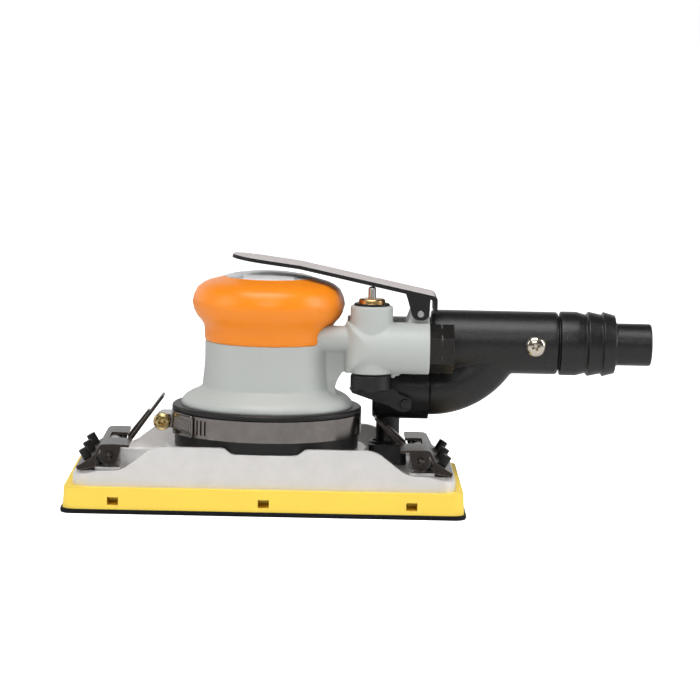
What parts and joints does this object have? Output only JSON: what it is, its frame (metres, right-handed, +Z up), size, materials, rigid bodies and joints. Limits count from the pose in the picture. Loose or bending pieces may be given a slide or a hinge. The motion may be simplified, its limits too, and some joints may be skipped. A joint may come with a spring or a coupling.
{
  "type": "orbital sander",
  "caption": "Air-driven palm orbital sander with a rectangular hook pad, spring paper clips, throttle lever and a dust outlet for a hose.",
  "frame": {"origin": "on the motor axis, at the underside of the pad's hook layer (the work surface)", "axes": "+X along the tool towards the hose end, +Y towards the exhaust tube side, +Z up away from the work"},
  "size_m": [0.2608, 0.0938, 0.1109],
  "materials": {
    "housing_paint": "fine textured satin grey-green paint on cast aluminium",
    "orange_rubber": "soft-touch matt orange rubber",
    "disc_plastic": "satin dark grey label plate",
    "steel": "ground steel",
    "bearing_steel": "polished bearing steel",
    "aluminium_cast": "fine bead-blasted cast aluminium",
    "black_plastic": "fine-grained black moulding",
    "black_anodised": "black oxide steel, machined",
    "black_rubber": "matt black rubber",
    "band_steel": "bright stainless band",
    "zinc_screw": "yellow zinc plating",
    "brass": "turned brass",
    "spring_steel": "dark oil-blackened spring steel with worn edges",
    "lever_paint": "grey powder coat on steel sheet, black sides",
    "yellow_foam": "cast yellow polyurethane foam",
    "hook_fabric": "black nylon hook fabric",
    "vane_resin": "phenolic vane material"
  },
  "bodies": {
    "housing": {"motor_housing": "housing_paint", "palm_cap": "orange_rubber", "top_disc": "disc_plastic", "lock_ring": "steel", "lower_bearing": "bearing_steel", "lower_end_plate": "aluminium_cast", "motor_cylinder": "steel", "upper_end_plate": "aluminium_cast", "upper_bearing": "bearing_steel", "inlet_bushing": "black_anodised", "inlet_screen": "brass", "valve_sleeve": "brass", "valve_washer": "black_rubber", "valve_seat": "black_rubber", "valve_spring": "steel", "lever_pin": "steel", "suction_pipe": "black_rubber", "suction_elbow": "black_plastic", "mount_arm": "black_plastic", "arm_screw": "spring_steel", "suction_duct": "black_plastic", "exhaust_tube": "black_plastic", "jet_nozzle": "aluminium_cast", "tube_screw": "steel", "rubber_shroud": "black_rubber", "clamp_band": "band_steel", "clamp_saddle": "band_steel", "clamp_screw": "zinc_screw"},
    "pad": {"hook_layer": "hook_fabric", "pad_foam": "yellow_foam", "backing_plate": "aluminium_cast", "pad_spindle": "steel", "plate_screw": "steel", "suction_boss": "black_plastic", "left_clip_bracket": "aluminium_cast", "left_bracket_rivets": "steel", "left_clip_pin": "spring_steel", "left_clip_spring": "spring_steel", "right_clip_bracket": "aluminium_cast", "right_bracket_rivets": "steel", "right_clip_pin": "spring_steel", "right_clip_spring": "spring_steel"},
    "left_jaw": {"left_clip_jaw": "spring_steel", "left_jaw_studs": "black_rubber"},
    "right_jaw": {"right_clip_jaw": "spring_steel", "right_jaw_studs": "black_rubber"},
    "rotor": {"rotor": "steel", "rotor_vanes": "vane_resin", "eccentric_shaft": "steel", "balance_weight": "steel", "spindle_bearing": "bearing_steel", "bearing_clip": "spring_steel"},
    "stem": {"valve_stem": "steel", "valve_plug": "brass"},
    "regulator": {"regulator_knob": "black_plastic"},
    "lever": {"throttle_lever": "lever_paint"},
    "adapter": {"hose_adapter": "black_plastic", "adapter_seal": "black_rubber"}
  },
  "joints": [
    {"name": "rotor_spin", "type": "hinge", "parent": "housing", "child": "rotor", "pos_m": [0, 0, 0.06], "axis": [0, 0, 1], "continuous": true},
    {"name": "pad_orbit", "type": "hinge", "parent": "rotor", "child": "pad", "pos_m": [0, 0.00125, 0.03], "axis": [0, 0, 1], "continuous": true},
    {"name": "lever_press", "type": "hinge", "parent": "housing", "child": "lever", "pos_m": [0.0674, 0, 0.0867], "axis": [0, -1, 0], "range_deg": [0, 2.8], "stiffness_Nm_per_rad": 6, "springref_deg": -6.88},
    {"name": "valve_slide", "type": "slide", "parent": "housing", "child": "stem", "axis": [0, 0, -1], "range_m": [0, 0.0012], "stiffness_N_per_m": 300, "springref_m": -0.001, "deforming": ["valve_spring"]},
    {"name": "regulator_turn", "type": "hinge", "parent": "housing", "child": "regulator", "pos_m": [0.0458, -0.012, 0.056], "axis": [0, 0, 1], "range_deg": [0, 270]},
    {"name": "hose_swivel", "type": "hinge", "parent": "housing", "child": "adapter", "pos_m": [0.14, 0.014, 0.0719], "axis": [1, 0, 0], "continuous": true},
    {"name": "left_clip_open", "type": "hinge", "parent": "pad", "child": "left_jaw", "pos_m": [-0.0685, 0.00125, 0.0228], "axis": [0, 1, 0], "range_deg": [0, 2.5], "stiffness_Nm_per_rad": 1.5, "springref_deg": -17.19},
    {"name": "right_clip_open", "type": "hinge", "parent": "pad", "child": "right_jaw", "pos_m": [0.0685, 0.00125, 0.0228], "axis": [0, -1, 0], "range_deg": [0, 2.5], "stiffness_Nm_per_rad": 1.5, "springref_deg": -17.19}
  ],
  "couplings": [
    {"joint": "pad_orbit", "follows": "rotor_spin", "ratio": -1},
    {"joint": "valve_slide", "follows": "lever_press", "m_per_rad": 0.0216}
  ]
}
